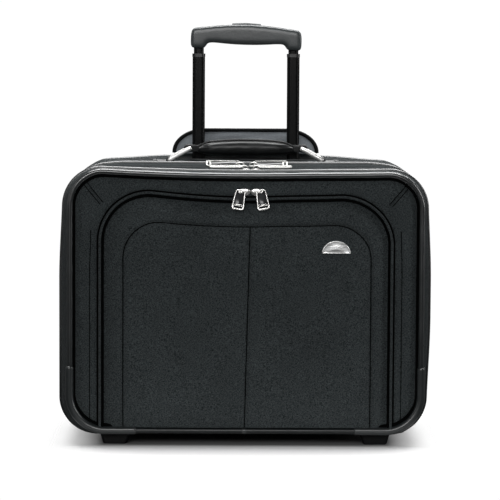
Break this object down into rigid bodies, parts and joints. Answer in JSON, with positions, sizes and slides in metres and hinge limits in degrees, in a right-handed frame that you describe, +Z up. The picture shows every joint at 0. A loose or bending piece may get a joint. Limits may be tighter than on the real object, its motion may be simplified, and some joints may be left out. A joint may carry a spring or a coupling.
{
  "type": "rolling laptop case",
  "caption": "Soft-sided rolling laptop case with zipped compartments, a zipped front pocket, a padded carry handle on metal loops and a telescopic pull handle stowing in a top well.",
  "frame": {"origin": "on the floor, at the middle of the overall width and depth, with the pull handle part-way out as in the rest pose", "axes": "+X to the case's right seen from the front, +Y from the front face to the wheels at the back, +Z up"},
  "size_m": [0.43, 0.2115, 0.4874],
  "materials": {
    "nylon": "woven nylon",
    "lining": "lining",
    "zip_black": "coil",
    "piping": "vinyl over cord",
    "guard": "moulded",
    "zip_metal": "nickel plated",
    "badge": "brushed",
    "base_plastic": "moulded",
    "foot_rubber": "moulded",
    "tyre": "moulded",
    "hub": "moulded",
    "bush": "moulded",
    "steel": "plain",
    "loop_steel": "brushed",
    "tube_black": "black anodised",
    "collar": "moulded",
    "grip": "satin",
    "button": "satin",
    "leather": "grained",
    "flap": "lined"
  },
  "bodies": {
    "rear_case": {"rear_shell": "nylon", "back_panel": "nylon", "tube_cover_panel": "lining", "rear_zip_chain_a": "zip_black", "base_plate": "base_plastic", "base_screws": "steel", "front_feet": "foot_rubber", "wheel_housings": "base_plastic", "wheel_axles": "steel", "fixed_tubes": "tube_black", "tube_foot_bracket": "base_plastic", "handle_well": "base_plastic", "back_piping": "piping", "carry_anchors": "loop_steel", "anchor_rivets": "loop_steel"},
    "mid_section": {"mid_shell": "nylon", "laptop_divider": "lining", "rear_zip_chain_b": "zip_black", "front_zip_chain_a": "zip_black"},
    "front_lid": {"lid_shell": "nylon", "organiser_panel": "lining", "front_zip_chain_b": "zip_black", "front_piping": "piping", "corner_guards": "guard", "pocket_gusset": "nylon", "pocket_zip_chain": "zip_black"},
    "front_pocket": {"pocket_panel": "nylon", "badge_plate": "badge"},
    "wheel_left": {"wheel_tyre_left": "tyre", "wheel_hub_left": "hub", "wheel_bush_left": "bush"},
    "wheel_right": {"wheel_tyre_right": "tyre", "wheel_hub_right": "hub", "wheel_bush_right": "bush"},
    "lower_stage": {"lower_stage_tubes": "tube_black", "lower_stage_collars": "collar"},
    "middle_stage": {"middle_stage_tubes": "tube_black", "middle_stage_collars": "collar"},
    "grip_stage": {"upper_stage_tubes": "tube_black", "grip_upper": "grip", "grip_lower": "grip", "button_spring": "steel"},
    "release": {"release_button": "button", "release_rods": "steel"},
    "flap": {"well_flap": "flap"},
    "carry_handle": {"carry_handle_pad": "leather"},
    "carry_loop_l": {"carry_loop_left": "loop_steel"},
    "carry_loop_r": {"carry_loop_right": "loop_steel"},
    "rear_slider_left": {"rear_zip_slider_left": "zip_metal"},
    "rear_pull_left": {"rear_zip_pull_left": "zip_metal"},
    "rear_slider_right": {"rear_zip_slider_right": "zip_metal"},
    "rear_pull_right": {"rear_zip_pull_right": "zip_metal"},
    "front_slider_left": {"front_zip_slider_left": "zip_metal"},
    "front_pull_left": {"front_zip_pull_left": "zip_metal"},
    "front_slider_right": {"front_zip_slider_right": "zip_metal"},
    "front_pull_right": {"front_zip_pull_right": "zip_metal"},
    "pocket_slider_left": {"pocket_zip_slider_left": "zip_metal"},
    "pocket_pull_left": {"pocket_zip_pull_left": "zip_metal"},
    "pocket_slider_right": {"pocket_zip_slider_right": "zip_metal"},
    "pocket_pull_right": {"pocket_zip_pull_right": "zip_metal"}
  },
  "joints": [
    {"name": "mid_section_hinge", "type": "hinge", "parent": "rear_case", "child": "mid_section", "pos_m": [0, -0.092, 0.018], "axis": [1, 0, 0], "range_deg": [0, 35]},
    {"name": "lid_hinge", "type": "hinge", "parent": "mid_section", "child": "front_lid", "pos_m": [0, -0.092, 0.018], "axis": [1, 0, 0], "range_deg": [0, 75]},
    {"name": "pocket_hinge", "type": "hinge", "parent": "front_lid", "child": "front_pocket", "pos_m": [0, -0.1, 0.024], "axis": [1, 0, 0], "range_deg": [0, 55]},
    {"name": "lower_stage_slide", "type": "slide", "parent": "rear_case", "child": "lower_stage", "axis": [0, 0, 1], "range_m": [0, 0.19]},
    {"name": "middle_stage_slide", "type": "slide", "parent": "lower_stage", "child": "middle_stage", "axis": [0, 0, 1], "range_m": [-0.165, 0.015]},
    {"name": "grip_stage_slide", "type": "slide", "parent": "middle_stage", "child": "grip_stage", "axis": [0, 0, 1], "range_m": [0, 0.18]},
    {"name": "button_press", "type": "slide", "parent": "grip_stage", "child": "release", "axis": [0, 0, -1], "range_m": [0, 0.003], "deforming": ["button_spring"]},
    {"name": "flap_hinge", "type": "hinge", "parent": "rear_case", "child": "flap", "pos_m": [0, 0.0971, 0.3248], "axis": [1, 0, 0], "range_deg": [-50, 28]},
    {"name": "carry_lift", "type": "slide", "parent": "rear_case", "child": "carry_handle", "axis": [0, 0, 1], "range_m": [-0.004, 0.006]},
    {"name": "carry_loop_left_hinge", "type": "hinge", "parent": "rear_case", "child": "carry_loop_l", "pos_m": [-0.09, 0.03, 0.3256], "axis": [0, 1, 0], "range_deg": [-15, 10]},
    {"name": "carry_loop_right_hinge", "type": "hinge", "parent": "rear_case", "child": "carry_loop_r", "pos_m": [0.09, 0.03, 0.3256], "axis": [0, 1, 0], "range_deg": [-10, 15]},
    {"name": "wheel_left_spin", "type": "hinge", "parent": "rear_case", "child": "wheel_left", "pos_m": [-0.156, 0.0784, 0.027], "axis": [1, 0, 0], "continuous": true},
    {"name": "wheel_right_spin", "type": "hinge", "parent": "rear_case", "child": "wheel_right", "pos_m": [0.156, 0.0784, 0.027], "axis": [1, 0, 0], "continuous": true},
    {"name": "rear_slider_left_slide", "type": "slide", "parent": "rear_case", "child": "rear_slider_left", "axis": [1, 0, 0], "range_m": [-0.14, 0]},
    {"name": "rear_pull_left_hinge", "type": "hinge", "parent": "rear_slider_left", "child": "rear_pull_left", "pos_m": [-0.0088, -0.009, 0.321], "axis": [0, 1, 0], "range_deg": [0, 120]},
    {"name": "rear_slider_right_slide", "type": "slide", "parent": "rear_case", "child": "rear_slider_right", "axis": [1, 0, 0], "range_m": [0, 0.13]},
    {"name": "rear_pull_right_hinge", "type": "hinge", "parent": "rear_slider_right", "child": "rear_pull_right", "pos_m": [0.0108, -0.009, 0.321], "axis": [0, 1, 0], "range_deg": [-120, 0]},
    {"name": "front_slider_left_slide", "type": "slide", "parent": "mid_section", "child": "front_slider_left", "axis": [1, 0, 0], "range_m": [-0.14, 0]},
    {"name": "front_pull_left_hinge", "type": "hinge", "parent": "front_slider_left", "child": "front_pull_left", "pos_m": [-0.0048, -0.061, 0.321], "axis": [0, 1, 0], "range_deg": [0, 120]},
    {"name": "front_slider_right_slide", "type": "slide", "parent": "mid_section", "child": "front_slider_right", "axis": [1, 0, 0], "range_m": [0, 0.13]},
    {"name": "front_pull_right_hinge", "type": "hinge", "parent": "front_slider_right", "child": "front_pull_right", "pos_m": [0.0148, -0.061, 0.321], "axis": [0, 1, 0], "range_deg": [-120, 0]},
    {"name": "pocket_slider_left_slide", "type": "slide", "parent": "front_lid", "child": "pocket_slider_left", "axis": [1, 0, 0], "range_m": [-0.1, 0]},
    {"name": "pocket_pull_left_hinge", "type": "hinge", "parent": "pocket_slider_left", "child": "pocket_pull_left", "pos_m": [-0.0016, -0.1038, 0.293], "axis": [1, 0, 0], "range_deg": [-150, 0]},
    {"name": "pocket_slider_right_slide", "type": "slide", "parent": "front_lid", "child": "pocket_slider_right", "axis": [1, 0, 0], "range_m": [0, 0.09]},
    {"name": "pocket_pull_right_hinge", "type": "hinge", "parent": "pocket_slider_right", "child": "pocket_pull_right", "pos_m": [0.0116, -0.1038, 0.293], "axis": [1, 0, 0], "range_deg": [-150, 0]}
  ],
  "couplings": [
    {"joint": "carry_loop_left_hinge", "follows": "carry_lift", "rad_per_m": -42.2},
    {"joint": "carry_loop_right_hinge", "follows": "carry_lift", "rad_per_m": 42.2}
  ]
}
